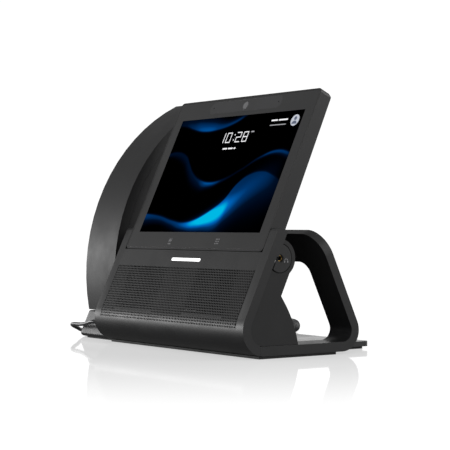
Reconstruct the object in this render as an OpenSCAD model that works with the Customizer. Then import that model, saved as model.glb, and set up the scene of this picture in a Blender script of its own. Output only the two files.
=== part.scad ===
// Desk telephone with a tilting touch display, a perforated speaker panel on a bent
// strap base, and a corded handset on a side cradle. Millimetres, +Z up, +Y to the rear,
// standing on the desk at Z = 0 with the middle of its footprint at the origin.

/* [Stance] */
// Lean of the front panel and of the rear portal from vertical, in degrees
lean = 25; // [22:0.5:27]
// Height of the picture's lower edge above the desk
lcd_z = 95.75; // [94:0.25:98]

/* [Display] */
// Width of the picture, an 8 inch 16:10 panel
lcd_w = 172.3; // [160:0.1:176]
// Height of the picture
lcd_h = 107.7; // [100:0.1:108]
// Width of the display module
module_w = 196.2; // [194:0.1:196.2]
// Border of the module above the picture
border_top = 18.3; // [17:0.1:20]
// Border of the module below the picture
border_bottom = 15.85; // [15:0.05:17]
// Thickness of the module at its lower edge
module_t = 14; // [13:0.5:14.5]
// Thickness of the module at its upper edge
module_top_t = 11; // [10:0.5:12]

/* [Body] */
// Width of the front panel and the base
body_w = 216.2; // [216.2:0.1:218]
// Thickness of the strap that makes the panel, base and portal
strap_t = 7.5; // [7:0.1:7.9]
// Thickness of the perforated skin of the front panel
skin_t = 2.6; // [2.2:0.1:2.6]
// Outer radius of the bend under the front panel
front_bend_r = 20; // [18:0.5:22]
// Outer radius of the bend under the rear portal
rear_bend_r = 16.4; // [15:0.2:18]
// Distance of the rear bend's centre behind the picture's lower edge
rear_bend_y = 65.9; // [64:0.1:68]
// Width of each rail of the portal
rail_w = 27; // [25:0.5:29]
// Height of the portal along its own face
portal_h = 80; // [78:0.5:84]
// Height of the portal's top bar along its own face
portal_bar = 24.9; // [22:0.1:28]
// Rearmost edge of the ballast plate
plate_end_y = 118; // [114:1:124]
// Thickness of the ballast plate
plate_t = 4.3; // [4:0.1:4.4]
// Thickness of the rubber feet
foot_t = 2.1; // [1.5:0.1:3]

/* [Hinge] */
// Depth of the tilt axis behind the panel's face
hinge_d = 12; // [11.5:0.1:12.5]
// Radius of the hub at each end of the hinge
hub_r = 15; // [14:0.5:16]
// Radius of the display's hinge barrel
barrel_r = 9; // [8.5:0.1:9]

/* [Handset] */
// Distance of the handset's middle plane left of the body's
handset_x = 139.5; // [139:0.5:141]
// Width of the handset
handset_w = 49; // [47:0.5:49]
// Radius of the handset's long outer curve
handset_r = 173.5; // [173:0.5:174]
// Thickness of the grip
grip_t = 17; // [16:0.5:18]
// Radius of the ear and mouth cups
cup_r = 21; // [19:0.5:21]

/* [Cord] */
// Diameter of the handset cord's strand
cord_d = 3.5; // [3.3:0.1:3.6]
// Outer diameter of the curly stretch
curl_d = 12; // [11:0.5:12]

/* [Hidden] */
$fn = 64;

// ---- the panel's own plane: s runs up the face from the picture's lower edge,
// ---- d runs straight into the body from the face
sin_l = sin(lean);
cos_l = cos(lean);
function pt(s, d) = [s * sin_l + d * cos_l, lcd_z + s * cos_l - d * sin_l];
gap = 0.5;
module_bottom = -border_bottom;
module_top = lcd_h + border_top;
panel_top = module_bottom - gap;
hinge_at = pt(module_bottom, hinge_d);

// ---- strap: two bends, tangent to the panel, the base and the portal
base_top = foot_t + strap_t;
front_c_z = foot_t + front_bend_r;
front_c = [(front_bend_r + sin_l * (front_c_z - lcd_z)) / cos_l, front_c_z];
front_tangent_s = front_c[0] * sin_l + (front_c_z - lcd_z) * cos_l;
rear_c = [rear_bend_y, foot_t + rear_bend_r];
seam_y = front_c[0] - 3.7;
seam = 0.1;
ear_w = 9.5;
ear_top = 5.8;
ear_corner = 4.6;
ear_d = 9.2;
opening_w = body_w - 2 * rail_w;
lap_y = 6;
plate_w = opening_w - 1;
plate_screws = [for (x = [-60, 0, 60]) [x, 16, 0]];
hair = 0.02;
portal_corner = 21;
window_corner = 9.5;
window_top = portal_h - portal_bar;
window_depth = 64.5;

// ---- housing
cheek_x = body_w / 2 - 1.8;
wall = 2.5;
fit_gap = 0.1;
rear_d = 25.5;
waist = [6.2, 46.7];
toe = [22.1, base_top + fit_gap];
lower_back_r = 90;
bay_x = [-78, 52];
bay_z = [base_top + 2.7, 30];
port_y = 14;
port_plate_t = 2;
channel_r = barrel_r + 0.6;

// ---- handset: every curve of it and of its cradle shares one centre
arc_s = 35;
arc_d = handset_r - 7;
end_low = -35.6;
end_high = 39.3;
ear_angle = 28;
mouth_angle = -25;
cup_face_r = 133;
spine_r = cup_face_r - 0.5;
spine_t = 7.5;
spine_w = 42;
parting_r = handset_r - 9;
shell_t = 2.2;
cradle_top = 24.5;
cradle_out = 172;
cradle_in = body_w / 2 + 0.2;
cradle_y = [-13, 48];

// ---- footprint without the cord, for the origin
front_y = front_c[0] - front_bend_r;
centre = [(body_w / 2 - cradle_out) / 2, (plate_end_y + front_y) / 2];

// ---- helpers
function arc(c, r, a0, a1, n = 10) =
    [for (i = [0:n]) let (a = a0 + (a1 - a0) * i / n) c + r * [cos(a), sin(a)]];

// a profile in the Y-Z plane, drawn out from x0 to x1
module along_x(x0, x1) translate([x0, 0, 0]) rotate([90, 0, 90]) linear_extrude(x1 - x0) children();

// local X, up the face, and out of the face
module on_panel() translate([0, 0, lcd_z]) rotate([90 - lean, 0, 0]) children();

// a plate in the panel's plane between two depths behind the face
module slab(d0, d1) on_panel() translate([0, 0, -d1]) linear_extrude(d1 - d0) children();

// local X, up the portal's plate, and in towards the body
module on_portal() translate([0, rear_c[0], rear_c[1]]) rotate([90 + lean, 0, 0]) children();

module rounded(w, h, r) {
    translate([-w / 2 + r, 0]) square([w - 2 * r, h]);
    translate([-w / 2, r]) square([w, h - 2 * r]);
    for (x = [-1, 1], y = [r, h - r]) translate([x * (w / 2 - r), y]) circle(r);
}

module turned_x(x0, x1, r) translate([x0, hinge_at[0], hinge_at[1]])
    rotate([0, 90, 0]) cylinder(h = x1 - x0, r = r);

// moves what is built about the middle of the body to where the footprint is centred
module placed() translate([-centre[0], -centre[1], 0]) children();

// ---- strap profiles, each one outline
front_in_r = front_bend_r - strap_t;
rear_in_r = rear_bend_r - strap_t;
bend_seam = 180 + acos(-(seam_y - front_c[0]) / front_bend_r);
bend_seam_in = 180 + acos(-(seam_y - front_c[0]) / front_in_r);

// each rail ends in an ear beside the display
module rail_front() polygon(concat(
    [for (a = [0:15:90])
        pt(ear_top - ear_corner + ear_corner * sin(a), ear_corner - ear_corner * cos(a))],
    [pt(ear_top, ear_d), pt(panel_top, ear_d), pt(panel_top, strap_t)],
    arc(front_c, front_in_r, 180 - lean, bend_seam_in, 10),
    arc(front_c, front_bend_r, bend_seam, 180 - lean, 14)));

// the thin skin between the rails, thickening into the bend
module skin_front() polygon(concat(
    [pt(front_tangent_s + 2, 0), pt(front_tangent_s + 2, skin_t), pt(front_tangent_s, skin_t)],
    arc(front_c, front_in_r, 180 - lean + 6, bend_seam_in, 10),
    arc(front_c, front_bend_r, bend_seam, 180 - lean, 14)));

function portal_pt(w, r) = rear_c + w * [-sin_l, cos_l] + r * [cos_l, sin_l];
module strap_base() polygon(concat(
    [[seam_y + seam, base_top], [seam_y + seam, foot_t + 0.35], [front_c[0], foot_t]],
    arc(rear_c, rear_bend_r, 270, 360 + lean, 14),
    [portal_pt(portal_h, rear_bend_r), portal_pt(portal_h, rear_in_r)],
    arc(rear_c, rear_in_r, 360 + lean, 270, 10)));

// ---- front panel
grille_first = 32.5;
grille_pitch = 2.18;
grille_rows = 22;
light_s = -25.95;
light_w = 41.4;
light_h = 2.8;
light_corner = 1.2;
boss_r = 6;
slot_w = 56;
module grille_slots() for (i = [0:grille_rows - 4], side = [-1, 1])
    translate([side * 50 - slot_w / 2, -grille_first - i * grille_pitch - 0.5]) square([slot_w, 1]);

module front_panel() color([0.09, 0.09, 0.095]) difference() {
    union() {
        for (side = [-1, 1]) {
            x0 = side > 0 ? body_w / 2 - ear_w : -body_w / 2;
            along_x(x0, x0 + ear_w) rail_front();
        }
        // the skin runs a little into the rails, to be one piece with them
        skin_w = body_w - 2 * ear_w + 2;
        along_x(-skin_w / 2, skin_w / 2) skin_front();
        slab(0, skin_t) difference() {
            translate([-skin_w / 2, front_tangent_s + 2])
                square([skin_w, panel_top - front_tangent_s - 2]);
            grille_slots();
            translate([0, light_s]) rounded(light_w, light_h, light_corner);
        }
    }
    // the hinge bosses pass behind the ears
    turned_x(-cheek_x - 1, cheek_x + 1, boss_r);
}

// ---- base and portal, one bent strap with a window through it
module portal_cut(depth) on_portal() translate([0, 0, -rear_bend_r - 5]) linear_extrude(depth) children();

// what lies outside a round corner of the portal, set a hair out so that its sides cross cleanly
module outside_corner() polygon(concat(
    arc([body_w / 2 - portal_corner + hair, portal_h - portal_corner + hair], portal_corner, 0, 90, 14),
    [[body_w / 2 - portal_corner + hair, portal_h + 5], [body_w / 2 + 5, portal_h + 5],
    [body_w / 2 + 5, portal_h - portal_corner + hair]]));

// the window, and with it what would be the strap's base between its rails
module window_outline() polygon(concat(
    [[-opening_w / 2, -30]],
    arc([window_corner - opening_w / 2, window_top - window_corner], window_corner, 180, 90, 8),
    arc([opening_w / 2 - window_corner, window_top - window_corner], window_corner, 90, 0, 8),
    [[opening_w / 2, -30]]));

module base_frame() color([0.07, 0.07, 0.075]) difference() {
    along_x(-body_w / 2, body_w / 2) strap_base();
    portal_cut(window_depth) window_outline();
    for (side = [0, 1]) mirror([side, 0, 0]) portal_cut(strap_t + 10) outside_corner();
    // the ballast plate's front edge laps under here
    translate([-opening_w / 2 - 0.3, lap_y, foot_t - 1]) cube([opening_w + 0.6, 40, plate_t + 1.2]);
    for (p = plate_screws) translate(p) cylinder(h = 20, r = 1.7);
}

module ballast_plate() color([0.12, 0.12, 0.125]) difference() {
    translate([0, lap_y + 0.3, foot_t]) linear_extrude(plate_t)
        rounded(plate_w, plate_end_y - lap_y - 0.3, 5);
    for (p = plate_screws) translate(p) cylinder(h = 20, r = 1.3);
}

module base_screws() color([0.5, 0.5, 0.5]) for (p = plate_screws) translate(p) {
    translate([0, 0, foot_t + plate_t + 0.3]) cylinder(h = 2.6, r = 1.6);
    translate([0, 0, foot_t + 0.6]) cylinder(h = plate_t - 0.3, r = 1.25);
}

// ---- rubber feet
module front_foot() color([0.02, 0.02, 0.02]) linear_extrude(foot_t)
    translate([-body_w / 2 + 1.2, seam_y]) square([body_w - 2.4, lap_y - seam_y - 0.5]);

side_foot_w = 25;
side_foot_end = 60;
module side_feet() color([0.02, 0.02, 0.02]) linear_extrude(foot_t)
    for (side = [-1, 1]) translate([side * (body_w / 2 - 14) - side_foot_w / 2, lap_y])
        square([side_foot_w, side_foot_end - lap_y]);

module rear_foot() color([0.02, 0.02, 0.02]) linear_extrude(foot_t)
    translate([0, 70]) rounded(plate_w - 8, plate_end_y - 72, 5);

// ---- rear housing
cap_r = 10.8;
cap_t = 0.6;
groove_w = 0.9;
groove_t = 0.8;
back_from = waist + [1.3, -2.4];
back_chord = toe - back_from;
back_half = norm(back_chord) / 2;
back_turn = asin(back_half / lower_back_r);
back_angle = atan2(back_chord[0], -back_chord[1]);
back_c = (toe + back_from) / 2 - lower_back_r * cos(back_turn) * [cos(back_angle), sin(back_angle)];
hub_front = 180 - lean - acos((hinge_d - ear_d - fit_gap) / hub_r);
hub_back = -lean - asin(sqrt(1 - pow((rear_d - hinge_d) / hub_r, 2)));
lip_s = module_bottom - 1.2;
function lower_back(k) = concat([pt(-41.5, rear_d - k)],
    arc(back_c, lower_back_r - k, back_angle + back_turn, back_angle - back_turn + k * 1.4, 8),
    [[toe[0] - 1.25 * k, toe[1] + k]]);
function bend_inside(k) = arc(front_c, front_in_r - fit_gap - k, 270, 180 - lean, 8);

module cheek_outline() polygon(concat(
    [pt(panel_top, strap_t + fit_gap), pt(panel_top, ear_d + fit_gap)],
    arc(hinge_at, hub_r, hub_front, hub_back, 24), lower_back(0), bend_inside(0)));
module middle_outline() polygon(concat(
    [pt(panel_top - 6, skin_t + fit_gap), pt(lip_s, 12), pt(lip_s, rear_d)],
    lower_back(0), bend_inside(0), [pt(front_tangent_s + 1, skin_t + fit_gap)]));
module inside_outline() polygon(concat(
    [pt(panel_top - 14, -2), pt(panel_top - 14, 12), pt(panel_top - 6, rear_d - wall)],
    lower_back(wall), bend_inside(wall), [pt(front_tangent_s + 3, -2)]));

module rear_housing() color([0.08, 0.08, 0.085]) difference() {
    union() {
        for (side = [-1, 1]) {
            x0 = side > 0 ? body_w / 2 - ear_w - fit_gap : -cheek_x;
            along_x(x0, x0 + cheek_x - body_w / 2 + ear_w + fit_gap) cheek_outline();
        }
        along_x(-body_w / 2 + ear_w, body_w / 2 - ear_w) middle_outline();
    }
    along_x(-cheek_x + wall, cheek_x - wall) inside_outline();
    turned_x(-module_w / 2 - gap, module_w / 2 + gap, channel_r);
    translate([bay_x[0], -5, bay_z[0]]) cube([bay_x[1] - bay_x[0], 40, bay_z[1] - bay_z[0]]);
    turned_x(-cheek_x - 1, cheek_x + 1, boss_r);
    // room for the light and its board
    slab(-1, skin_t + 2.2) translate([0, light_s - 4.5]) rounded(light_w + 10, 9.5, 0.5);
    // a fine groove round each hub cap
    for (side = [0, 1]) mirror([side, 0, 0]) difference() {
        turned_x(cheek_x - groove_t, cheek_x + 1, cap_r + groove_w);
        turned_x(cheek_x - 1, cheek_x + 2, cap_r);
    }
}

module housing_screws() color([0.5, 0.5, 0.5]) for (x = [-92, 92])
    translate([x, 10, base_top + wall + 0.3]) cylinder(h = 1.8, r = 2.6);

// ---- connectors in the bay at the back
// each connector: middle along X, width, height
jacks = [[-60, 12, 11], [-30, 16, 13.4], [-8, 16, 13.4]];
usb_x = 22;
board_top = bay_z[0] + 2;
module jack_body(i) {
    j = jacks[i];
    translate([j[0] - j[1] / 2, -6, board_top + 0.05]) difference() {
        cube([j[1], port_y + 6, j[2]]);
        translate([2, 5, 2]) cube([j[1] - 4, 30, j[2] - 4.4]);
    }
}
module handset_jack() color([0.03, 0.03, 0.03]) jack_body(0);
module network_jack() color([0.6, 0.6, 0.62]) jack_body(1);
module computer_jack() color([0.6, 0.6, 0.62]) jack_body(2);
module usb_port() color([0.6, 0.6, 0.62]) translate([usb_x - 4.5, 5, board_top + 0.05]) difference() {
    cube([9, port_y - 5, 3.4]);
    translate([0.5, 2, 0.5]) cube([8, 30, 2.4]);
}
module port_plate() color([0.05, 0.05, 0.05]) difference() {
    translate([bay_x[0] + 0.2, port_y - port_plate_t, board_top])
        cube([bay_x[1] - bay_x[0] - 0.4, port_plate_t, bay_z[1] - board_top - 0.2]);
    for (j = jacks) translate([j[0] - j[1] / 2 - 0.1, 0, board_top - 1])
        cube([j[1] + 0.2, 40, j[2] + 1.2]);
    translate([usb_x - 4.6, 0, board_top - 1]) cube([9.2, 40, 4.6]);
}
module io_board() color([0.05, 0.2, 0.1]) translate([bay_x[0] + 2, -8, board_top - 1.7])
    cube([bay_x[1] - bay_x[0] - 4, port_y + 7.8, 1.6]);

// ---- speakers and light
speaker_x = 50;
speaker_s = -51.6;
speaker_r = 16.5;
magnet_r = speaker_r - 1;
cone_r = speaker_r - 2.2;
module speaker(x) slab(skin_t + 0.3, skin_t + 5) translate([x, speaker_s]) difference() {
    circle(speaker_r);
    circle(speaker_r - 2);
}
module left_speaker() color([0.1, 0.1, 0.1]) {
    speaker(-speaker_x);
    slab(skin_t + 5, skin_t + 18) translate([-speaker_x, speaker_s]) circle(magnet_r);
}
module right_speaker() color([0.1, 0.1, 0.1]) {
    speaker(speaker_x);
    slab(skin_t + 5, skin_t + 18) translate([speaker_x, speaker_s]) circle(magnet_r);
}
module speaker_cones() color([0.03, 0.03, 0.03]) for (x = [-speaker_x, speaker_x])
    slab(skin_t + 2, skin_t + 4.9) translate([x, speaker_s]) circle(cone_r);
module light_bar() color([0.95, 0.95, 0.95]) slab(0, skin_t + 0.4)
    translate([0, light_s + 0.05]) rounded(light_w - 0.2, light_h - 0.1, light_corner);
module light_board() color([0.05, 0.2, 0.1]) slab(skin_t + 0.5, skin_t + 1.7)
    translate([0, light_s - 1.5]) rounded(light_w + 6, 5.4, 0.5);

// ---- hinge
boss_x = [83, cheek_x];
module boss() difference() {
    turned_x(boss_x[0], boss_x[1], boss_r);
    turned_x(boss_x[0] - 1, boss_x[1] + 1, 4);
}
module right_hinge_boss() color([0.4, 0.4, 0.42]) boss();
module left_hinge_boss() color([0.4, 0.4, 0.42]) mirror([1, 0, 0]) boss();
module clear_of_rails(x0, x1) along_x(x0, x1)
    polygon([pt(30, -3), pt(30, ear_d + 0.2), pt(-60, ear_d + 0.2), pt(-60, -3)]);
module left_hub_cap() color([0.06, 0.06, 0.065]) difference() {
    turned_x(-cheek_x - cap_t, -cheek_x, cap_r);
    clear_of_rails(-body_w, -50);
}
module right_hub_cap() color([0.06, 0.06, 0.065]) difference() {
    turned_x(cheek_x, cheek_x + cap_t, cap_r);
    turned_x(cheek_x - 1, cheek_x + 2, 3);
    clear_of_rails(50, body_w);
}
jack_r = 1.78;
jack_end = cheek_x - 13.5;
contact_x = cheek_x - 1.4;
module headset_jack() color([0.02, 0.02, 0.02]) difference() {
    union() {
        turned_x(cheek_x - 15, cheek_x, 3.95);
        turned_x(cheek_x - 1, cheek_x + cap_t, 2.75);
    }
    turned_x(jack_end, cheek_x + 2, jack_r);
    turned_x(contact_x, cheek_x + 2, 2.4);
}
module headset_contact() color([0.85, 0.65, 0.3]) difference() {
    turned_x(contact_x, contact_x + 0.9, 2.35);
    turned_x(cheek_x - 3, cheek_x + 2, jack_r);
}

// ---- display, everything on it tilts
module display_side(k) polygon([pt(module_bottom + k, k), pt(module_top - k, k),
    pt(module_top - k, module_top_t - 3), pt(module_top - 3 - k, module_top_t - k),
    pt(module_bottom + k, module_t - k)]);
module module_outline(inset, r) translate([0, module_bottom + inset])
    rounded(module_w - 2 * inset, module_top - module_bottom - 2 * inset, r);
glass_t = 1.8;
module display_shell() color([0.09, 0.09, 0.095]) difference() {
    intersection() {
        slab(0, module_t) module_outline(0, 4);
        along_x(-module_w / 2, module_w / 2) display_side(0);
    }
    slab(-1, glass_t + 0.05) module_outline(1.5, 3);
    intersection() {
        slab(glass_t, module_t) module_outline(3, 2);
        along_x(-module_w / 2, module_w / 2) display_side(1.8);
    }
    for (side = [0, 1]) mirror([side, 0, 0]) turned_x(boss_x[0] - 1, boss_x[1], boss_r + 0.05);
}
module hinge_barrel() color([0.06, 0.06, 0.065]) difference() {
    turned_x(-module_w / 2 + 0.4, module_w / 2 - 0.4, barrel_r - 0.05);
    for (side = [0, 1]) mirror([side, 0, 0]) turned_x(boss_x[0] - 1, boss_x[1], boss_r + 0.05);
    slab(-2, module_t) translate([-110, module_bottom]) square([220, 30]);
}
stadium = [100.4, 10.9];
stadium_s = 112;
lens_x = 1;
lens_s = 117.4;
microphone_x = [-44.5, 46.4];
module cover_glass() color([0.1, 0.1, 0.105]) difference() {
    slab(0, glass_t) module_outline(1.6, 2.9);
    slab(-1, 0.7) translate([lens_x - 0.5, stadium_s]) rounded(stadium[0], stadium[1], 5.4);
    slab(-1, glass_t + 1) translate([lens_x, lens_s]) circle(3.5);
}
module camera_window() color([0.16, 0.16, 0.165]) difference() {
    slab(0, 0.65) translate([lens_x - 0.5, stadium_s]) rounded(stadium[0], stadium[1], 5.4);
    slab(-1, 3) translate([lens_x, lens_s]) circle(3.5);
    for (x = microphone_x) slab(-1, 3) translate([x, lens_s]) circle(0.6);
}
module camera_lens() color([0.3, 0.3, 0.31]) slab(0.1, 3) translate([lens_x, lens_s]) circle(3.45);
module camera_module() color([0.05, 0.05, 0.05]) slab(3.05, 7)
    translate([lens_x - 5, lens_s - 4]) square([10, 8]);
module lcd_panel() color([0.02, 0.03, 0.08]) slab(glass_t + 0.1, glass_t + 2.4)
    translate([-lcd_w / 2, 0]) square([lcd_w, lcd_h]);
module display_board() color([0.05, 0.2, 0.1]) slab(6, 7.6) translate([-65, 10]) square([130, 80]);
module display_microphones() color([0.6, 0.6, 0.6]) for (x = microphone_x)
    slab(glass_t + 0.1, 3.4) translate([x, lens_s]) circle(2);
module display_screws() color([0.5, 0.5, 0.5]) for (x = [-60, 60], s = [15, 85])
    slab(7.65, 9) translate([x, s]) circle(2.2);

// ---- handset cradle at the left
module cradle_shape(inset, z, h, r) translate([0, 0, z]) linear_extrude(h) hull() {
    translate([-cradle_out + inset * 1.6 + r, cradle_y[0] + inset + r]) circle(r, $fn = 32);
    translate([-cradle_out + inset * 1.6 + 8, cradle_y[1] - inset - 8]) circle(8, $fn = 32);
    translate([-cradle_in - 2, cradle_y[0] + inset]) square([2, cradle_y[1] - cradle_y[0] - 2 * inset]);
}
module cradle_base() color([0.07, 0.07, 0.075]) difference() {
    hull() {
        cradle_shape(1.2, foot_t - 0.6, 0.1, 10);
        cradle_shape(0, foot_t + 1.2, 1, 10);
        cradle_shape(5.6, cradle_top - 0.1, 0.1, 6);
    }
    // the cord's way out at the front
    translate([-126, cradle_y[0] - 5, 8.5]) cube([14.5, 27, 30]);
}
module cradle_foot() color([0.02, 0.02, 0.02]) cradle_shape(4, 0, foot_t - 0.6, 8);

function polar(r, a) = pt(arc_s + r * sin(a), arc_d - r * cos(a));
module fan(r_in, r_out, a0, a1) polygon(concat(
    [for (i = [0:16]) polar(r_out, a0 + (a1 - a0) * i / 16)],
    [for (i = [0:16]) polar(r_in, a1 + (a0 - a1) * i / 16)]));
module hand_x(w) translate([-handset_x, 0, 0]) along_x(-w / 2, w / 2) children();
// a round piece that points from the shared curve towards its centre
module cup(r_near, r_far, a, r) {
    at = polar(r_near, a);
    translate([-handset_x, at[0], at[1]]) rotate([90 - lean - a, 0, 0]) mirror([0, 0, 1])
        cylinder(h = r_near - r_far, r = r);
}
module cradle_spine() color([0.07, 0.07, 0.075]) difference() {
    intersection() {
        hand_x(spine_w) fan(spine_r - spine_t, spine_r, end_low - 10, 38);
        translate([-200, -50, cradle_top + 0.02]) cube([150, 300, 300]);
    }
    cup(spine_r + 1, spine_r - 2, ear_angle, 15);
    cup(spine_r + 1, spine_r - 2, mouth_angle, 15);
}
module cradle_pads() color([0.02, 0.02, 0.02]) for (a = [ear_angle, mouth_angle])
    cup(spine_r - 0.8, spine_r - 1.9, a, 14.8);
module cradle_sensor() color([0.3, 0.3, 0.3]) translate([-handset_x - 5, 10, cradle_top - 3])
    translate([0, 0, 3.01]) cube([10, 6, 0.2]);

// ---- handset
grip_screws = [-15, 18];
plug_at = [-119.5, 3.5];
grille_r = 14.9;
screw_sink = 1.6;
module plug_hole() translate([plug_at[0], plug_at[1], 20]) cylinder(h = 20, r = 3.2);
module handset_outer_shell() color([0.08, 0.08, 0.085]) difference() {
    hand_x(handset_w) fan(parting_r + 0.05, handset_r, end_low, end_high);
    hand_x(handset_w - 2 * shell_t)
        fan(parting_r - 1, handset_r - shell_t, end_low + 0.8, end_high - 0.8);
    plug_hole();
}
module handset_inner_shell() color([0.06, 0.06, 0.065]) difference() {
    union() {
        hand_x(handset_w) fan(handset_r - grip_t, parting_r - 0.05, end_low, end_high);
        for (a = [ear_angle, mouth_angle]) cup(handset_r - grip_t + 2, cup_face_r, a, cup_r);
    }
    hand_x(handset_w - 2 * shell_t)
        fan(handset_r - grip_t + shell_t, parting_r + 1, end_low + 0.8, end_high - 0.8);
    for (a = [ear_angle, mouth_angle]) {
        cup(parting_r, cup_face_r + 2.5, a, cup_r - shell_t);
        cup(parting_r, cup_face_r - 2, a, grille_r + 0.1);
    }
    for (a = grip_screws)
        cup(handset_r - grip_t + screw_sink, handset_r - grip_t - 1, a, 2.45);
    plug_hole();
}
module ear_speaker() color([0.3, 0.3, 0.3]) cup(cup_face_r + 12, cup_face_r + 2.6, ear_angle, 16);
module ear_grille() color([0.03, 0.03, 0.03])
    cup(cup_face_r + 2.4, cup_face_r + 0.6, ear_angle, grille_r);
module mouth_microphone() color([0.5, 0.5, 0.5]) cup(cup_face_r + 8, cup_face_r + 2.6, mouth_angle, 5);
module mouth_grille() color([0.03, 0.03, 0.03])
    cup(cup_face_r + 2.4, cup_face_r + 0.6, mouth_angle, grille_r);
module handset_weight() color([0.45, 0.45, 0.45]) hand_x(30) fan(handset_r - 13, handset_r - 8, -8, 12);
module handset_screws() color([0.5, 0.5, 0.5]) for (a = grip_screws)
    cup(handset_r - grip_t + screw_sink, handset_r - grip_t, a, 2.4);
module handset_plug() color([0.02, 0.02, 0.02]) translate([plug_at[0], plug_at[1], 0]) {
    translate([0, 0, 24]) cylinder(h = 11, r = 3.1);
    translate([0, 0, 18.5]) cylinder(h = 5.5, r1 = 2.3, r2 = 3.1);
}

// ---- cord: three solids along one route, named from the handset to the rear jack
lead_points = [[-119.5, 3.5, 18.1], [-119.5, 2.6, 14.5], [-119, -2.5, 11.8], [-118.4, -10, 11.8],
    [-117.8, -17, 13.8], [-119.6, -22, 16], [-125.2, -23.7, 16.7], [-135, -22, 15.2],
    [-146, -19.8, 13.4], [-157, -18, 12.4], [-168, -17.2, 12], [-175.3, -15.8, 11.2],
    [-178.6, -12, 9.4], [-181.5, -6.2, 7.2], [-185.4, -1.7, 5.6], [-190, 5, 4],
    [-193.6, 13, 2.6], [-195, 24, 1.9], [-195, 38, 1.9], [-194.6, 54, 1.9], [-194, 70, 1.9],
    [-193.4, 86, 1.9], [-192.6, 102, 1.9], [-191.8, 116, 2.2], [-191.2, 128, 4], [-191, 140, 6.1]];
curl_c = [-136, 140];
curl_axis_r = 55;
tail_points = [[-81, 140, 6.1], [-80.4, 131, 5], [-78, 124, 6.2], [-75, 117, 8.6], [-72, 106, 8.4],
    [-69.5, 94, 8.3], [-67.4, 80, 8.3], [-65.4, 66, 8.3], [-63.4, 54, 8.8], [-61.6, 44, 11],
    [-60.4, 36, 16], [-60, 30, 19], [-60, 25.2, 19.6]];

function unit(v) = v / norm(v);
// a point on the smooth curve through p, t from 0 to len(p) - 1
function spline(p, t) = let (n = len(p) - 1, i = min(floor(t), n - 1), u = t - i,
    a = i > 0 ? p[i - 1] : 2 * p[0] - p[1], b = p[i], c = p[i + 1],
    d = i + 2 <= n ? p[i + 2] : 2 * p[n] - p[n - 1])
    b + 0.5 * u * (c - a) + 0.5 * u * u * (2 * a - 5 * b + 4 * c - d)
    + 0.5 * u * u * u * (3 * b - a - 3 * c + d);
module tube(line, r, sides) {
    n = len(line) - 1;
    dirs = [for (i = [0:n]) unit(line[min(i + 1, n)] - line[max(i - 1, 0)])];
    rings = [for (i = [0:n]) let (side = unit(cross(dirs[i], [0.03, 0.05, 1])), up = cross(side, dirs[i]))
        [for (k = [0:sides - 1]) let (a = 360 * k / sides) line[i] + r * (cos(a) * side + sin(a) * up)]];
    polyhedron([for (ring = rings) for (p = ring) p], concat(
        [[for (k = [0:sides - 1]) k]],
        [for (i = [0:n - 1], k = [0:sides - 1]) [i * sides + k, (i + 1) * sides + k,
            (i + 1) * sides + (k + 1) % sides, i * sides + (k + 1) % sides]],
        [[for (k = [sides - 1:-1:0]) n * sides + k]]), 6);
}
module cord_lead() color([0.15, 0.15, 0.155])
    tube([for (t = [0:0.6:len(lead_points) - 1]) spline(lead_points, t)], cord_d / 2, 8);
module cord_curl() color([0.15, 0.15, 0.155])
    tube([for (a = [180:-11.25:0]) [curl_c[0] + curl_axis_r * cos(a), curl_c[1] + curl_axis_r * sin(a),
        curl_d / 2 + 0.05]], curl_d / 2, 12);
module cord_tail() color([0.15, 0.15, 0.155])
    tube([for (t = [0:0.6:len(tail_points) - 1]) spline(tail_points, t)], cord_d / 2, 8);
module cord_plug() color([0.03, 0.03, 0.03]) translate([-60, 0, 0]) {
    translate([-3.9, 1, board_top + 2.3]) cube([7.8, 17, 6]);
    translate([0, 18, 19.6]) rotate([-90, 0, 0]) cylinder(h = 7, r1 = 3, r2 = 2.2);
}

placed() front_panel();
placed() base_frame();
placed() ballast_plate();
placed() front_foot();
placed() side_feet();
placed() rear_foot();
placed() rear_housing();
placed() port_plate();
placed() network_jack();
placed() computer_jack();
placed() handset_jack();
placed() usb_port();
placed() io_board();
placed() left_speaker();
placed() right_speaker();
placed() speaker_cones();
placed() light_bar();
placed() light_board();
placed() left_hinge_boss();
placed() right_hinge_boss();
placed() left_hub_cap();
placed() right_hub_cap();
placed() headset_jack();
placed() headset_contact();
placed() display_shell();
placed() hinge_barrel();
placed() cover_glass();
placed() lcd_panel();
placed() display_board();
placed() camera_window();
placed() camera_lens();
placed() camera_module();
placed() display_microphones();
placed() display_screws();
placed() base_screws();
placed() housing_screws();
placed() cradle_base();
placed() cradle_foot();
placed() cradle_spine();
placed() cradle_pads();
placed() cradle_sensor();
placed() handset_outer_shell();
placed() handset_inner_shell();
placed() ear_speaker();
placed() ear_grille();
placed() mouth_microphone();
placed() mouth_grille();
placed() handset_weight();
placed() handset_screws();
placed() handset_plug();
placed() cord_lead();
placed() cord_curl();
placed() cord_tail();
placed() cord_plug();
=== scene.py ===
"""Studio scene of a desk telephone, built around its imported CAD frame. Metres, +Z up, +Y to the rear."""
from math import cos, pi, radians, sin, sqrt

import bmesh
import bpy
from mathutils import Matrix, Vector


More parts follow.
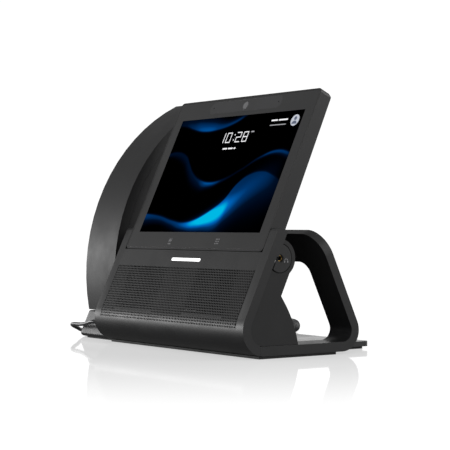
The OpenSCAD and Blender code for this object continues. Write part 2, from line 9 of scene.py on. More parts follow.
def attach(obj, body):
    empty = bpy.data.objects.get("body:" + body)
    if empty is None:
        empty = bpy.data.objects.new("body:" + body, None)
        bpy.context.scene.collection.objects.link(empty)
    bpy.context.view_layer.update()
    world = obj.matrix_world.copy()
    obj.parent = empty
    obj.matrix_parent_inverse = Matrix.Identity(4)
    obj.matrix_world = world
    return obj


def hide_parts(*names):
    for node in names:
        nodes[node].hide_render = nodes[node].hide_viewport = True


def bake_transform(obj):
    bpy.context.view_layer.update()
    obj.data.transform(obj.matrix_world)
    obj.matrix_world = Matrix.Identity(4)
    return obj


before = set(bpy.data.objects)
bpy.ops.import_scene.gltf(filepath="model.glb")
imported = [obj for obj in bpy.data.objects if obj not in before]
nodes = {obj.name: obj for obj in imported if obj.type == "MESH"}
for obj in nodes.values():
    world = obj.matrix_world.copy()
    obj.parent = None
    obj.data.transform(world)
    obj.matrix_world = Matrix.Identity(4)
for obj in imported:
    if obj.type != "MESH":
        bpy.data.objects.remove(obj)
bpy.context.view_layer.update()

MM = 0.001
# part.scad's own middle of the body, as the row frame has it
BODY = Vector((31.95, -42.862, 0)) * MM
LEAN = radians(25)
LCD_Z, LCD_W, LCD_H = 95.75, 172.3, 107.7
# x across, y up the panel's face, z out of it, from the middle of the picture's lower edge
PANEL = Matrix.Translation(BODY + Vector((0, 0, LCD_Z * MM))) @ Matrix.Rotation(pi / 2 - LEAN, 4, "X")


def at(x, y, z):
    """A point of part.scad's, in millimetres from the middle of the body, in the row frame."""
    return BODY + Vector((x, y, z)) * MM


# ---- camera
def make_camera():
    data = bpy.data.cameras.new("camera")
    data.lens = 119.3
    data.sensor_width = 36
    data.clip_start = 0.05
    camera = bpy.data.objects.new("camera", data)
    camera.location = (1.03801, -0.73904, 0.10313)
    camera.rotation_euler = (radians(89.93), 0, radians(54.21))
    bpy.context.scene.collection.objects.link(camera)
    bpy.context.scene.camera = camera


make_camera()


# ---- helpers for meshes
def new_object(name, mesh, body=None, smooth=True):
    if smooth:
        mesh.polygons.foreach_set("use_smooth", [True] * len(mesh.polygons))
    piece = bpy.data.objects.new(name, mesh)
    bpy.context.scene.collection.objects.link(piece)
    if body:
        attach(piece, body)
    return piece


def mesh_from(name, verts, faces):
    mesh = bpy.data.meshes.new(name)
    mesh.from_pydata([tuple(v) for v in verts], [], faces)
    mesh.validate()
    mesh.update()
    return mesh


def tube_mesh(name, line, radius, sides):
    """A round tube along the points, its rings turned as little as can be, closed at both ends."""
    count = len(line)
    verts, faces = [], []
    side = None
    for i, p in enumerate(line):
        ahead = (line[min(i + 1, count - 1)] - line[max(i - 1, 0)]).normalized()
        if side is None:
            side = ahead.orthogonal().normalized()
        side = (side - ahead * side.dot(ahead)).normalized()
        up = ahead.cross(side)
        verts += [p + radius * (cos(2 * pi * k / sides) * side + sin(2 * pi * k / sides) * up)
                  for k in range(sides)]
    for i in range(count - 1):
        for k in range(sides):
            a, b = i * sides + k, i * sides + (k + 1) % sides
            faces.append((a, b, b + sides, a + sides))
    faces.append(tuple(reversed(range(sides))))
    faces.append(tuple(range((count - 1) * sides, count * sides)))
    return mesh_from(name, verts, faces)


def smooth_line(points, steps):
    """The smooth curve through the points, the same one that part.scad sweeps."""
    last = len(points) - 1
    line = []
    for i in range(last):
        b, c = points[i], points[i + 1]
        a = points[i - 1] if i else 2 * b - c
        d = points[i + 2] if i + 2 <= last else 2 * c - b
        for k in range(steps):
            u = k / steps
            line.append(b + 0.5 * u * (c - a) + 0.5 * u * u * (2 * a - 5 * b + 4 * c - d)
                        + 0.5 * u ** 3 * (3 * b - a - 3 * c + d))
    return line + [points[last]]


# ---- the handset's cord, one strand from the handset to the socket at the back
CORD_D = 3.5
LEAD = [(-119.5, 3.5, 18.1), (-119.5, 2.6, 14.5), (-119, -2.5, 11.8), (-118.4, -10, 11.8),
        (-117.8, -17, 13.8), (-119.6, -22, 16), (-125.2, -23.7, 16.7), (-135, -22, 15.2),
        (-146, -19.8, 13.4), (-157, -18, 12.4), (-168, -17.2, 12), (-175.3, -15.8, 11.2),
        (-178.6, -12, 9.4), (-181.5, -6.2, 7.2), (-185.4, -1.7, 5.6), (-190, 5, 4),
        (-193.6, 13, 2.6), (-195, 24, 1.9), (-195, 38, 1.9), (-194.6, 54, 1.9), (-194, 70, 1.9),
        (-193.4, 86, 1.9), (-192.6, 102, 1.9), (-191.8, 116, 2.2), (-191.2, 128, 4), (-191, 140, 6.1)]
TAIL = [(-81, 140, 6.1), (-80.4, 131, 5), (-78, 124, 6.2), (-75, 117, 8.6), (-72, 106, 8.4),
        (-69.5, 94, 8.3), (-67.4, 80, 8.3), (-65.4, 66, 8.3), (-63.4, 54, 8.8), (-61.6, 44, 11),
        (-60.4, 36, 16), (-60, 30, 19), (-60, 25.2, 19.6)]
CURL_MIDDLE, CURL_AXIS_R, CURL_Z, CURL_OUT = (-136, 140), 55, 6.05, 12
CURL_TURNS = 46
CURL_STEP, CURL_EASE = 1.6, 9
CORD_SIDES, ROUTE_STEPS = 10, 3


def curl_line():
    """The helix round the half circle behind the phone, in even steps of strand. At each end it leaves its
    axis slowly: the strand first opens out and then winds up."""
    full = CURL_OUT / 2 - CORD_D / 2
    length = pi * CURL_AXIS_R
    wind = 2 * pi * CURL_TURNS / length
    line = []
    along, turn = CURL_STEP, 0.0
    while along < length - CURL_STEP:
        grown = min(1, min(along, length - along) / CURL_EASE)
        radius = full * grown * grown * (3 - 2 * grown)
        rate = wind * grown * grown
        angle = pi - along / CURL_AXIS_R
        out = CURL_AXIS_R + radius * cos(turn)
        line.append(at(CURL_MIDDLE[0] + out * cos(angle), CURL_MIDDLE[1] + out * sin(angle),
                       CURL_Z + radius * sin(turn)))
        step = CURL_STEP / sqrt(1 + (radius * rate) ** 2)
        along += step
        turn += rate * step
    return line


def make_cord():
    lead, tail = (smooth_line([at(*p) for p in route], ROUTE_STEPS) for route in (LEAD, TAIL))
    line = lead + curl_line() + tail
    cord = new_object("handset_cord", tube_mesh("handset_cord", line, CORD_D / 2 * MM, CORD_SIDES))
    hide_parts("cord_lead", "cord_curl", "cord_tail")
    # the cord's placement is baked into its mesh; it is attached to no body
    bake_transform(cord)
    return cord


cord = make_cord()


# ---- helpers for materials
def node_of(tree, kind, **values):
    n = tree.nodes.new(kind)
    for key, value in values.items():
        setattr(n, key, value)
    return n


class Shader:
    """A principled material with short calls for the nodes that feed it."""

    def __init__(self, name, color, rough, metallic=0.0, **sockets):
        self.material = bpy.data.materials.new(name)
        self.material.use_nodes = True
        self.tree = self.material.node_tree
        self.bsdf = self.tree.nodes["Principled BSDF"]
        self.set("Base Color", (*color, 1))
        self.set("Roughness", rough)
        self.set("Metallic", metallic)
        for key, value in sockets.items():
            self.set(key.replace("_", " "), value)
        self.coords = node_of(self.tree, "ShaderNodeTexCoord").outputs["Object"]

    def set(self, socket, value):
        self.bsdf.inputs[socket].default_value = value

    def link(self, a, b):
        self.tree.links.new(a, b)

    def to(self, a, socket):
        self.link(a, self.bsdf.inputs[socket])

    def math(self, operation, a, b=None, c=None, clamp=False):
        n = node_of(self.tree, "ShaderNodeMath", operation=operation, use_clamp=clamp)
        for i, value in enumerate((a, b, c)):
            if value is None:
                continue
            if isinstance(value, (int, float)):
                n.inputs[i].default_value = value
            else:
                self.link(value, n.inputs[i])
        return n.outputs[0]

    def noise(self, per_metre, detail=4.0, rough=0.6):
        n = node_of(self.tree, "ShaderNodeTexNoise")
        n.inputs["Scale"].default_value = per_metre
        n.inputs["Detail"].default_value = detail
        n.inputs["Roughness"].default_value = rough
        self.link(self.coords, n.inputs["Vector"])
        return n.outputs["Fac"]

    def ramp(self, fac, stops):
        n = node_of(self.tree, "ShaderNodeValToRGB")
        ramp = n.color_ramp
        while len(ramp.elements) < len(stops):
            ramp.elements.new(0.5)
        for element, (place, color) in zip(ramp.elements, stops):
            element.position = place
            element.color = (*color, 1) if len(color) == 3 else color
        self.link(fac, n.inputs["Fac"])
        return n.outputs["Color"]

    def spread(self, fac, low, high):
        n = node_of(self.tree, "ShaderNodeMapRange")
        self.link(fac, n.inputs["Value"])
        n.inputs["From Min"].default_value = 0.3
        n.inputs["From Max"].default_value = 0.7
        n.inputs["To Min"].default_value = low
        n.inputs["To Max"].default_value = high
        return n.outputs["Result"]

    def bump(self, height, strength, distance):
        n = node_of(self.tree, "ShaderNodeBump")
        n.inputs["Strength"].default_value = strength
        n.inputs["Distance"].default_value = distance
        self.link(height, n.inputs["Height"])
        self.to(n.outputs["Normal"], "Normal")


def grey(v, tint=0.0):
    return (v, v, v * (1 + tint))


def moulded(name, value, rough, grain=2400, depth=0.00006, tint=0.04, strength=0.25):
    """Moulded plastic: a fine spark-eroded grain, and a slow change in tone and gloss."""
    s = Shader(name, grey(value, tint), rough)
    slow = s.noise(18, 2)
    s.to(s.ramp(slow, [(0.3, grey(value * 0.93, tint)), (0.7, grey(value * 1.07, tint))]), "Base Color")
    s.to(s.spread(s.noise(45, 3), rough - 0.04, rough + 0.05), "Roughness")
    s.bump(s.noise(grain, 3, 0.7), strength, depth)
    s.set("Specular IOR Level", PLASTIC_SPECULAR)
    return s.material


def metal(name, value, rough, tint=0.02, grain=1500):
    s = Shader(name, grey(value, tint), rough, metallic=1.0)
    s.to(s.spread(s.noise(grain, 2), rough - 0.06, rough + 0.08), "Roughness")
    s.bump(s.noise(grain, 2), 0.12, 0.00004)
    return s.material


def rubber(name, value, rough=0.75):
    s = Shader(name, grey(value), rough)
    s.to(s.spread(s.noise(60, 3), rough - 0.08, rough + 0.06), "Roughness")
    s.bump(s.noise(3200, 2), 0.35, 0.00008)
    return s.material


BODY_GREY = 0.014
PLASTIC_SPECULAR, HANDSET_SPECULAR, HOLE_SHADE_SPECULAR = 0.4, 0.27, 0.1
body_mat = moulded("body_plastic", BODY_GREY, 0.42)
housing_mat = moulded("housing_plastic", BODY_GREY * 0.8, 0.55, grain=1800, strength=0.4)
display_mat = moulded("display_plastic", BODY_GREY, 0.4)
handset_mat = moulded("handset_plastic", BODY_GREY * 0.95, 0.5)
handset_mat.node_tree.nodes["Principled BSDF"].inputs["Specular IOR Level"].default_value = HANDSET_SPECULAR
barrel_mat = moulded("barrel_plastic", BODY_GREY * 0.7, 0.5)
rubber_mat = rubber("rubber", 0.018)
pad_mat = rubber("pad_rubber", 0.025, 0.8)
cord_mat = moulded("cord_jacket", 0.03, 0.3, grain=3000, strength=0.1)
steel_mat = metal("screw_steel", 0.5, 0.35)
plated_mat = metal("plated_shield", 0.6, 0.28)
brass_mat = metal("gold_contact", 0.0, 0.22)
brass_mat.node_tree.nodes["Principled BSDF"].inputs["Base Color"].default_value = (0.5, 0.32, 0.11, 1)
ballast_mat = moulded("ballast_paint", 0.02, 0.24, grain=900, strength=0.12)
jack_mat = moulded("jack_plastic", 0.015, 0.3)
cloth_mat = rubber("speaker_cloth", 0.012, 0.9)


def board_material():
    s = Shader("circuit_board", (0.015, 0.09, 0.04), 0.35)
    s.to(s.ramp(s.noise(420, 1), [(0.46, (0.012, 0.07, 0.03)), (0.52, (0.03, 0.14, 0.07))]), "Base Color")
    s.bump(s.noise(900, 1), 0.3, 0.0001)
    return s.material


board_mat = board_material()


def light_material():
    s = Shader("light_diffuser", (0.95, 0.95, 0.95), 0.35)
    s.set("Emission Color", (1, 1, 1, 1))
    s.set("Emission Strength", 1.1)
    return s.material


def cover_material():
    s = Shader("cover_glass", grey(0.015, 0.03), 0.36, Coat_Weight=0.1, Coat_Roughness=0.15)
    s.to(s.spread(s.noise(12, 2), 0.31, 0.38), "Roughness")
    s.bump(s.noise(2600, 2), 0.06, 0.00003)
    return s.material


glass_mat = cover_material()
window_mat = moulded("camera_window", 0.034, 0.35, strength=0.1)
lens_mat = moulded("lens_ring", 0.15, 0.25, strength=0.05)
light_mat = light_material()

NODE_MATERIALS = {
    body_mat: ["front_panel", "base_frame", "cradle_base", "cradle_spine", "left_hub_cap", "right_hub_cap"],
    barrel_mat: ["hinge_barrel"],
    display_mat: ["display_shell"],
    handset_mat: ["handset_outer_shell", "handset_inner_shell"],
    glass_mat: ["cover_glass"],
    window_mat: ["camera_window"],
    lens_mat: ["camera_lens"],
    ballast_mat: ["ballast_plate"],
    rubber_mat: ["front_foot", "side_feet", "rear_foot", "cradle_foot"],
    pad_mat: ["cradle_pads"],
    plated_mat: ["network_jack", "computer_jack", "usb_port"],
    jack_mat: ["handset_jack", "headset_jack", "handset_plug", "cord_plug", "camera_module", "lcd_panel"],
    brass_mat: ["headset_contact"],
    steel_mat: ["left_hinge_boss", "right_hinge_boss", "base_screws", "housing_screws", "display_screws",
                "handset_screws", "handset_weight", "display_microphones", "mouth_microphone"],
    housing_mat: ["rear_housing", "port_plate", "left_speaker", "right_speaker", "ear_speaker",
                  "cradle_sensor"],
    cloth_mat: ["speaker_cones", "ear_grille", "mouth_grille"],
    board_mat: ["io_board", "light_board", "display_board"],
    light_mat: ["light_bar"],
    cord_mat: ["cord_lead", "cord_curl", "cord_tail"],
}
# how wide each node's edges are broken, in millimetres
EDGE = {"front_panel": 0.8, "base_frame": 1.6, "ballast_plate": 0.8, "rear_housing": 0.5,
        "display_shell": 0.6, "cover_glass": 0.25, "handset_outer_shell": 2.0, "cradle_base": 1.6,
        "cradle_spine": 1.2, "handset_inner_shell": 1.0, "light_bar": 0.15, "left_hub_cap": 0.2,
        "right_hub_cap": 0.2, "headset_contact": 0.2, "handset_plug": 0.5, "cord_plug": 0.5,
        "hinge_barrel": 0.4, "network_jack": 0.2, "computer_jack": 0.2, "handset_jack": 0.2,
        "camera_window": 0.1, "front_foot": 0.3, "side_feet": 0.3, "rear_foot": 0.3}


def finish_node(name, material):
    piece = nodes[name]
    piece.data.materials.clear()
    piece.data.materials.append(material)
    piece.data.polygons.foreach_set("use_smooth", [True] * len(piece.data.polygons))
    weld = piece.modifiers.new("weld", "WELD")
    weld.merge_threshold = 0.00001
    planar = piece.modifiers.new("planar", "DECIMATE")
    planar.decimate_type = "DISSOLVE"
    planar.angle_limit = radians(0.4)
    edge = piece.modifiers.new("edge", "BEVEL")
    edge.width = EDGE.get(name, 0.2) * MM
    edge.segments = 3
    edge.limit_method = "ANGLE"
    edge.angle_limit = radians(32)
    edge.use_clamp_overlap = True
    edge.harden_normals = True
    normal = piece.modifiers.new("normal", "WEIGHTED_NORMAL")
    normal.keep_sharp = True


for material, names in NODE_MATERIALS.items():
    for name in names:
        finish_node(name, material)
cord.data.materials.append(cord_mat)


# ---- the perforated grille, a thin sheet over the speaker field that follows the bend
GRILLE_ROWS, ROW_PITCH, HOLE_PITCH, HOLE_R = 22, 2.18, 2.2, 0.84
GRILLE_FIRST, GRILLE_HALF = -32.5, 99.0
BEND_R, BEND_Y, BEND_Z, BEND_S = 20.0, -12.276, 22.1, -71.94
SHEET_LIFT, SHEET_T, HOLE_SHADE_OUT = 0.07, 0.5, 0.025


def on_front(x, s, out):
    """A point on the front panel: across, down along its face and round its bend, and out of it."""
    if s >= BEND_S:
        y = s * sin(LEAN) - out * cos(LEAN)
        z = LCD_Z + s * cos(LEAN) + out * sin(LEAN)
        return at(x, y, z)
    turn = pi - LEAN + (BEND_S - s) / BEND_R
    return at(x, BEND_Y + (BEND_R + out) * cos(turn), BEND_Z + (BEND_R + out) * sin(turn))


SPEAKER_X = 50


def hole_shade_material():
    """Painted shade for the grille's holes: near black over the middle of each speaker and paler away from
    it.
    """
    s = Shader("grille_hole_shade", grey(0.006), 0.85)
    s.set("Specular IOR Level", HOLE_SHADE_SPECULAR)
    split = node_of(s.tree, "ShaderNodeSeparateXYZ")
    s.link(s.coords, split.inputs[0])
    across = s.math("ABSOLUTE", s.math("SUBTRACT", split.outputs[0], BODY.x))
    off = s.math("ABSOLUTE", s.math("SUBTRACT", across, SPEAKER_X * MM))
    s.to(s.ramp(s.math("DIVIDE", off, 45 * MM), [(0.4, grey(0.0003)), (0.75, grey(0.007))]), "Base Color")
    return s.material


hole_shade_mat = hole_shade_material()


def make_grille():
    """Rows of round holes, each row half a pitch along from the last. Each cell is a ring of eight
    faces between its outline and its hole, and the outline's middle points are the corners of the
    cells in the next row, so that the sheet is one closed skin."""
    bm = bmesh.new()
    seen = {}

    def vert(x, s, out):
        key = (round(x, 3), round(s, 3), round(out, 3))
        if key not in seen:
            seen[key] = bm.verts.new(on_front(*key))
        return seen[key]

    cells = int(2 * GRILLE_HALF / HOLE_PITCH)
    for row in range(GRILLE_ROWS):
        s = GRILLE_FIRST - row * ROW_PITCH
        top, low = s + ROW_PITCH / 2, s - ROW_PITCH / 2
        shift = (row % 2) * HOLE_PITCH / 2
        for i in range(cells):
            x = (i - cells / 2) * HOLE_PITCH + shift + HOLE_PITCH / 4
            left, right = x - HOLE_PITCH / 2, x + HOLE_PITCH / 2
            outline = [(right, s), (right, top), (x, top), (left, top), (left, s), (left, low), (x, low),
                       (right, low)]
            ring = [(x + HOLE_R * cos(pi / 4 * k), s + HOLE_R * sin(pi / 4 * k)) for k in range(8)]
            for k in range(8):
                j = (k + 1) % 8
                bm.faces.new([vert(*ring[k], SHEET_LIFT), vert(*outline[k], SHEET_LIFT),
                              vert(*outline[j], SHEET_LIFT), vert(*ring[j], SHEET_LIFT)])
                wall = bm.faces.new([vert(*ring[j], SHEET_LIFT), vert(*ring[j], SHEET_LIFT - SHEET_T),
                                     vert(*ring[k], SHEET_LIFT - SHEET_T), vert(*ring[k], SHEET_LIFT)])
                # the hole walls are painted with the hole shade
                wall.material_index = 1
    bmesh.ops.recalc_face_normals(bm, faces=bm.faces)
    mesh = bpy.data.meshes.new("speaker_grille")
    bm.to_mesh(mesh)
    bm.free()
    piece = new_object("speaker_grille", mesh, "base", smooth=False)
    mesh.materials.append(body_mat)
    mesh.materials.append(hole_shade_mat)


make_grille()
# behind the holes: the panel's open slots over the two speakers, and a dark sheet of painted shade everywhere
# else
SLOT_ROWS, SLOT_W, SLOT_H = 19, 56, 1


def make_hole_shade():
    # a sheet of painted shade just under the grille, left open over the slots
    top = GRILLE_FIRST + ROW_PITCH / 2
    low = GRILLE_FIRST - (GRILLE_ROWS - 0.5) * ROW_PITCH
    half = GRILLE_HALF - 0.5
    inner, outer = SPEAKER_X - SLOT_W / 2, SPEAKER_X + SLOT_W / 2
    verts, faces = [], []

    def strip(x0, x1, s0, s1, steps=1):
        for k in range(steps + 1):
            s = s0 + (s1 - s0) * k / steps
            verts.extend([on_front(x0, s, HOLE_SHADE_OUT), on_front(x1, s, HOLE_SHADE_OUT)])
            if k:
                n = len(verts)
                faces.append((n - 4, n - 3, n - 1, n - 2))

    last = GRILLE_FIRST - (SLOT_ROWS - 1) * ROW_PITCH
    for x0, x1 in ((-half, -outer), (-inner, inner), (outer, half)):
        strip(x0, x1, top, last - SLOT_H / 2, 20)
    # the webs between the slots over each speaker
    for x0, x1 in ((-outer, -inner), (inner, outer)):
        strip(x0, x1, top, GRILLE_FIRST + SLOT_H / 2)
        for row in range(SLOT_ROWS - 1):
            s = GRILLE_FIRST - row * ROW_PITCH
            strip(x0, x1, s - SLOT_H / 2, s - ROW_PITCH + SLOT_H / 2)
    strip(-half, half, last - SLOT_H / 2, low, 14)
    mesh = mesh_from("grille_hole_shade", verts, faces)
    mesh.materials.append(hole_shade_mat)
    piece = new_object("grille_hole_shade", mesh, "base")


make_hole_shade()


# ---- the picture and what it shows
def wave(s, u, v, path, above, below, light):
    """One glowing fold: path, softness above and below it and brightness, all along the picture."""
    def curve(points):
        n = node_of(s.tree, "ShaderNodeFloatCurve")
        line = n.mapping.curves[0]
        while len(line.points) < len(points):
            line.points.new(0.5, 0.5)
        for point, (x, y) in zip(line.points, points):
            point.location = (x, y)
        n.mapping.update()
        s.link(u, n.inputs["Value"])
        return n.outputs[0]

    off = s.math("SUBTRACT", v, curve(path))
    up = s.math("DIVIDE", s.math("MAXIMUM", off, 0.0), curve(above))
    down = s.math("DIVIDE", s.math("MAXIMUM", s.math("MULTIPLY", off, -1.0), 0.0), curve(below))
    away = s.math("ADD", up, down)
    glow = s.math("POWER", 2.718, s.math("MULTIPLY", s.math("MULTIPLY", away, away), -1.0))
    return s.math("MULTIPLY", glow, curve(light))


def picture_material():
    s = Shader("picture", (0.0, 0.0, 0.0), 0.35)
    s.set("Specular IOR Level", 0.0)
    split = node_of(s.tree, "ShaderNodeSeparateXYZ")
    s.link(s.coords, split.inputs[0])
    u = s.math("ADD", s.math("MULTIPLY", split.outputs[0], 1 / (LCD_W * MM)), 0.5)
    v = s.math("MULTIPLY", split.outputs[1], 1 / (LCD_H * MM))
    swell = wave(s, u, v,
                 [(0, 0.15), (0.13, 0.13), (0.25, 0.09), (0.36, 0.07), (0.46, 0.1), (0.56, 0.18),
                  (0.62, 0.25), (0.69, 0.4), (0.76, 0.47), (0.85, 0.49), (0.93, 0.46), (1, 0.41)],
                 [(0, 0.012), (0.5, 0.015), (1, 0.012)],
                 [(0, 0.06), (0.35, 0.045), (0.5, 0.1), (0.65, 0.2), (0.8, 0.24), (1, 0.16)],
                 [(0, 0.42), (0.12, 0.34), (0.3, 0.42), (0.5, 0.62), (0.62, 0.44), (0.75, 0.3), (0.9, 0.24),
                  (1, 0.12)])
    core = wave(s, u, v,
                [(0, 0.05), (0.4, 0.06), (0.52, 0.11), (0.62, 0.165), (0.7, 0.24), (0.8, 0.35), (1, 0.5)],
                [(0, 0.03), (0.5, 0.05), (0.7, 0.09), (1, 0.12)],
                [(0, 0.03), (0.5, 0.06), (0.65, 0.12), (1, 0.16)],
                [(0, 0), (0.3, 0.05), (0.45, 0.4), (0.6, 0.8), (0.68, 0.5), (0.8, 0.22), (1, 0)])
    thread = wave(s, u, v,
                  [(0, 0.69), (0.07, 0.7), (0.16, 0.66), (0.22, 0.58), (0.28, 0.5), (0.36, 0.44),
                   (0.45, 0.415), (0.54, 0.435), (0.67, 0.52), (0.79, 0.62), (0.9, 0.665), (1, 0.64)],
                  [(0, 0.01), (0.4, 0.012), (0.6, 0.01), (1, 0.012)],
                  [(0, 0.02), (0.35, 0.05), (0.45, 0.03), (0.6, 0.012), (1, 0.03)],
                  [(0, 0.16), (0.2, 0.2), (0.34, 0.24), (0.44, 0.55), (0.55, 0.2), (0.65, 0.09), (0.78, 0.24),
                   (0.9, 0.42), (1, 0.2)])
    veil = wave(s, u, v,
                [(0, 0.96), (0.06, 0.95), (0.13, 0.92), (0.24, 0.89), (0.36, 0.9), (0.47, 0.94), (0.55, 1)],
                [(0, 0.05), (0.25, 0.08), (0.45, 0.03), (1, 0.02)],
                [(0, 0.012), (1, 0.014)],
                [(0, 0.12), (0.12, 0.3), (0.26, 0.55), (0.38, 0.4), (0.5, 0.34), (0.56, 0.1), (0.62, 0),
                 (1, 0)])
    total = s.math("ADD", s.math("ADD", swell, core), s.math("ADD", thread, veil), clamp=True)
    tone = s.ramp(total, [(0, (0, 0, 0)), (0.2, (0.0, 0.005, 0.02)), (0.45, (0.0, 0.035, 0.15)),
                          (0.7, (0.0, 0.13, 0.5)), (1, (0.0, 0.48, 0.78))])
    s.to(tone, "Emission Color")
    s.set("Emission Strength", 1.0)
    return s.material


def on_panel_mesh(name, bm, material):
    mesh = bpy.data.meshes.new(name)
    bm.to_mesh(mesh)
    bm.free()
    mesh.materials.append(material)
    piece = bpy.data.objects.new(name, mesh)
    bpy.context.scene.collection.objects.link(piece)
    piece.matrix_world = PANEL
    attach(piece, "display")
    return piece


def plate(bm, outline, low, high):
    """A flat plate of that outline, in millimetres on the panel, from low to high out of its face."""
    top = [bm.verts.new((x * MM, y * MM, high * MM)) for x, y in outline]
    under = [bm.verts.new((x * MM, y * MM, low * MM)) for x, y in outline]
    bm.faces.new(top)
    bm.faces.new(list(reversed(under)))
    for i in range(len(top)):
        j = (i + 1) % len(top)
        bm.faces.new([under[i], under[j], top[j], top[i]])


def round_rect(x0, y0, x1, y1, r, steps=6):
    points = []
    for cx, cy, start in ((x1 - r, y0 + r, -90), (x1 - r, y1 - r, 0), (x0 + r, y1 - r, 90),
                          (x0 + r, y0 + r, 180)):
        for k in range(steps + 1):
            a = radians(start + 90 * k / steps)
            points.append((cx + r * cos(a), cy + r * sin(a)))
    return points


def disc(x, y, r, steps=32):
    return [(x + r * cos(2 * pi * k / steps), y + r * sin(2 * pi * k / steps)) for k in range(steps)]


def lit(name, color, strength):
    s = Shader(name, (0.0, 0.0, 0.0), 0.4)
    s.set("Emission Color", (*color, 1))
    s.set("Emission Strength", strength)
    return s.material


PICTURE_OUT = 0.03
bm = bmesh.new()
plate(bm, [(-LCD_W / 2, 0), (LCD_W / 2, 0), (LCD_W / 2, LCD_H), (-LCD_W / 2, LCD_H)], -0.4, PICTURE_OUT)
picture = on_panel_mesh("picture", bm, picture_material())
white_mat = lit("screen_white", (0.9, 0.9, 0.92), 1.0)
faint_mat = lit("screen_faint", (0.35, 0.35, 0.37), 1.0)


def screen_piece(name, outlines, material, lift=0.02):
    bm = bmesh.new()
    for outline in outlines:
        plate(bm, outline, 0, PICTURE_OUT + lift)
    piece = on_panel_mesh(name, bm, material)
    return piece


def digit_strokes(x, y, w, h, t, on):
    """The strokes of one digit of a plain segment clock."""
    mid = y + h / 2
    bars = {"a": (x, y + h - t, x + w, y + h), "g": (x, mid - t / 2, x + w, mid + t / 2),
            "d": (x, y, x + w, y + t), "f": (x, mid, x + t, y + h), "b": (x + w - t, mid, x + w, y + h),
            "e": (x, y, x + t, mid), "c": (x + w - t, y, x + w, mid)}
    return [round_rect(*bars[k], t * 0.45, 3) for k in on]


SEGMENTS = {"0": "abcdef", "1": "bc", "2": "abged", "8": "abcdefg"}
clock = []
pen = -17.5
for mark in "10:28":
    if mark == ":":
        clock += [disc(pen + 1.6, 84.6, 0.65, steps=12), disc(pen + 1.6, 89.4, 0.65, steps=12)]
        pen += 4.2
    else:
        clock += digit_strokes(pen, 82.2, 6.6, 9.6, 0.85, SEGMENTS[mark])
        pen += 9.3
screen_piece("clock_digits", clock, white_mat)
screen_piece("clock_marks", [round_rect(24, 90.6, 28.2, 91.8, 0.5)], faint_mat)
screen_piece("date_bars", [round_rect(-8, 76, -1.5, 77.4, 0.6), round_rect(-0.3, 76, 6.3, 77.4, 0.6),
                           round_rect(7.5, 76, 10.2, 77.4, 0.6)], white_mat)
screen_piece("name_bars", [round_rect(46.5, 99.3, 55, 100.7, 0.6), round_rect(56.2, 99.3, 68, 100.7, 0.6)],
             white_mat)
screen_piece("detail_bar", [round_rect(46.5, 95.2, 67.5, 96, 0.4)], faint_mat)
screen_piece("portrait_disc", [disc(77.8, 98.5, 5.1)], lit("portrait_disc", (0.5, 0.53, 0.6), 1.0))
head = disc(77.8, 100.2, 1.7, steps=20)
shoulders = [(77.8 + 3.3 * cos(radians(a)), 94.9 + 3.2 * sin(radians(a))) for a in range(5, 176, 10)]
screen_piece("portrait_sign", [head, shoulders], lit("portrait_sign", (0.08, 0.1, 0.16), 1.0), 0.04)

# ---- signs printed on the glass and the hub
print_mat = moulded("print_grey", 0.2, 0.5)
sign = []
for k in range(4):
    left, low = -35.2 + 1.1 * k, -9.6 + 0.9 * (k % 2)
    sign.append(round_rect(left, low, left + 0.6, low + 3, 0.28, 3))
sign.append(round_rect(-35.6, -11.2, -31, -10.6, 0.28, 3))
screen_piece("touch_sign_left", sign, print_mat)
grid = [disc(32.2 + 1.9 * (k % 3), -9.8 + 1.9 * (k // 3), 0.55, steps=12) for k in range(9)]
screen_piece("touch_sign_right", grid, print_mat)


def make_hub_sign():
    """A small plain headphone sign on the right hub, beside the socket: a band and two cups."""
    middle = (8.4, 74.3)
    x = 108.75
    verts, faces = [], []

    def patch(outline):
        first = len(verts)
        verts.extend(at(x, middle[0] + y, middle[1] + z) for y, z in outline)
        faces.append(tuple(range(first, first + len(outline))))

    for k in range(10):
        a, b = radians(20 * k - 10), radians(20 * k + 10)
        patch([(r * cos(t), r * sin(t)) for r, t in ((1.75, a), (1.75, b), (1.35, b), (1.35, a))])
    for side in (-1, 1):
        patch(round_rect(side * 1.5 - 0.45, -1.3, side * 1.5 + 0.45, 0.3, 0.25, 3))
    mesh = mesh_from("hub_sign", verts, faces)
    mesh.materials.append(moulded("print_light", 0.3, 0.5))
    piece = new_object("hub_sign", mesh, "base")


make_hub_sign()


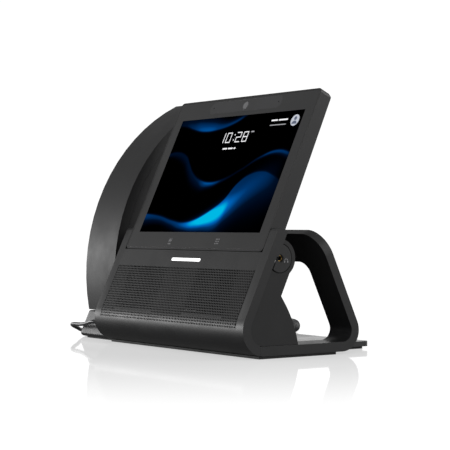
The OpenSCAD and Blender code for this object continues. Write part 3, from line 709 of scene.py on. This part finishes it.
# ---- floor, backdrop and light
def make_floor():
    """A pale glossy floor, hidden from the phone's own bounce light, as in a cut-out shot."""
    mesh = mesh_from("floor", [(-6, -6, 0), (6, -6, 0), (6, 6, 0), (-6, 6, 0)], [(0, 1, 2, 3)])
    floor = new_object("floor", mesh)
    floor.visible_diffuse = False
    floor.visible_glossy = False
    material = bpy.data.materials.new("floor")
    material.use_nodes = True
    tree = material.node_tree
    tree.nodes.clear()
    matt = node_of(tree, "ShaderNodeBsdfDiffuse")
    matt.inputs["Color"].default_value = (0.3, 0.3, 0.3, 1)
    glow = node_of(tree, "ShaderNodeEmission")
    glow.inputs["Strength"].default_value = 0.9
    pale = node_of(tree, "ShaderNodeAddShader")
    tree.links.new(matt.outputs[0], pale.inputs[0])
    tree.links.new(glow.outputs[0], pale.inputs[1])
    gloss = node_of(tree, "ShaderNodeBsdfGlossy")
    gloss.inputs["Color"].default_value = (1, 1, 1, 1)
    gloss.inputs["Roughness"].default_value = 0.045
    mix = node_of(tree, "ShaderNodeMixShader")
    # its gloss dies away a few hand's breadths from the phone
    away = node_of(tree, "ShaderNodeVectorMath", operation="LENGTH")
    tree.links.new(node_of(tree, "ShaderNodeTexCoord").outputs["Object"], away.inputs[0])
    fade = node_of(tree, "ShaderNodeMapRange", interpolation_type="SMOOTHSTEP")
    for key, value in (("From Min", 0.12), ("From Max", 0.62), ("To Min", 0.4), ("To Max", 0.0)):
        fade.inputs[key].default_value = value
    tree.links.new(away.outputs["Value"], fade.inputs["Value"])
    tree.links.new(fade.outputs["Result"], mix.inputs["Fac"])
    out = node_of(tree, "ShaderNodeOutputMaterial")
    tree.links.new(pale.outputs[0], mix.inputs[1])
    tree.links.new(gloss.outputs[0], mix.inputs[2])
    tree.links.new(mix.outputs[0], out.inputs["Surface"])
    mesh.materials.append(material)


def make_world():
    """A white band at the horizon, a softer dome above it and a dark underside."""
    world = bpy.data.worlds.new("studio")
    bpy.context.scene.world = world
    world.use_nodes = True
    tree = world.node_tree
    split = node_of(tree, "ShaderNodeSeparateXYZ")
    tree.links.new(node_of(tree, "ShaderNodeTexCoord").outputs["Generated"], split.inputs[0])
    ramp = node_of(tree, "ShaderNodeValToRGB")
    stops = [(0.4, 0.12), (0.47, 1.0), (0.58, 1.0), (0.68, 0.28), (1.0, 0.4)]
    while len(ramp.color_ramp.elements) < len(stops):
        ramp.color_ramp.elements.new(0.5)
    for element, (place, value) in zip(ramp.color_ramp.elements, stops):
        element.position = place
        element.color = (value, value, value, 1)
    halve = node_of(tree, "ShaderNodeMath", operation="MULTIPLY_ADD")
    halve.inputs[1].default_value = 0.5
    halve.inputs[2].default_value = 0.5
    tree.links.new(split.outputs[2], halve.inputs[0])
    tree.links.new(halve.outputs[0], ramp.inputs["Fac"])
    tree.links.new(ramp.outputs["Color"], tree.nodes["Background"].inputs["Color"])
    tree.nodes["Background"].inputs["Strength"].default_value = 1.05


def make_light(name, location, target, size, power, size_y=None):
    data = bpy.data.lights.new(name, "AREA")
    data.energy = power
    data.size = size
    if size_y:
        data.shape = "RECTANGLE"
        data.size_y = size_y
    light = bpy.data.objects.new(name, data)
    light.location = location
    light.rotation_euler = (Vector(target) - Vector(location)).to_track_quat("-Z", "Y").to_euler()
    bpy.context.scene.collection.objects.link(light)


make_floor()
make_world()
bpy.context.scene.view_settings.view_transform = "Standard"
make_light("key", (0.1, -0.7, 1.4), (0, 0, 0.05), 1.2, 8)
make_light("rim", (0.9, 1.0, 0.9), (0, 0, 0.08), 0.8, 8)
make_light("side_strip", (-1.9, -1.05, 0.2), (-0.1, -0.1, 0.03), 1.6, 17, 0.3)
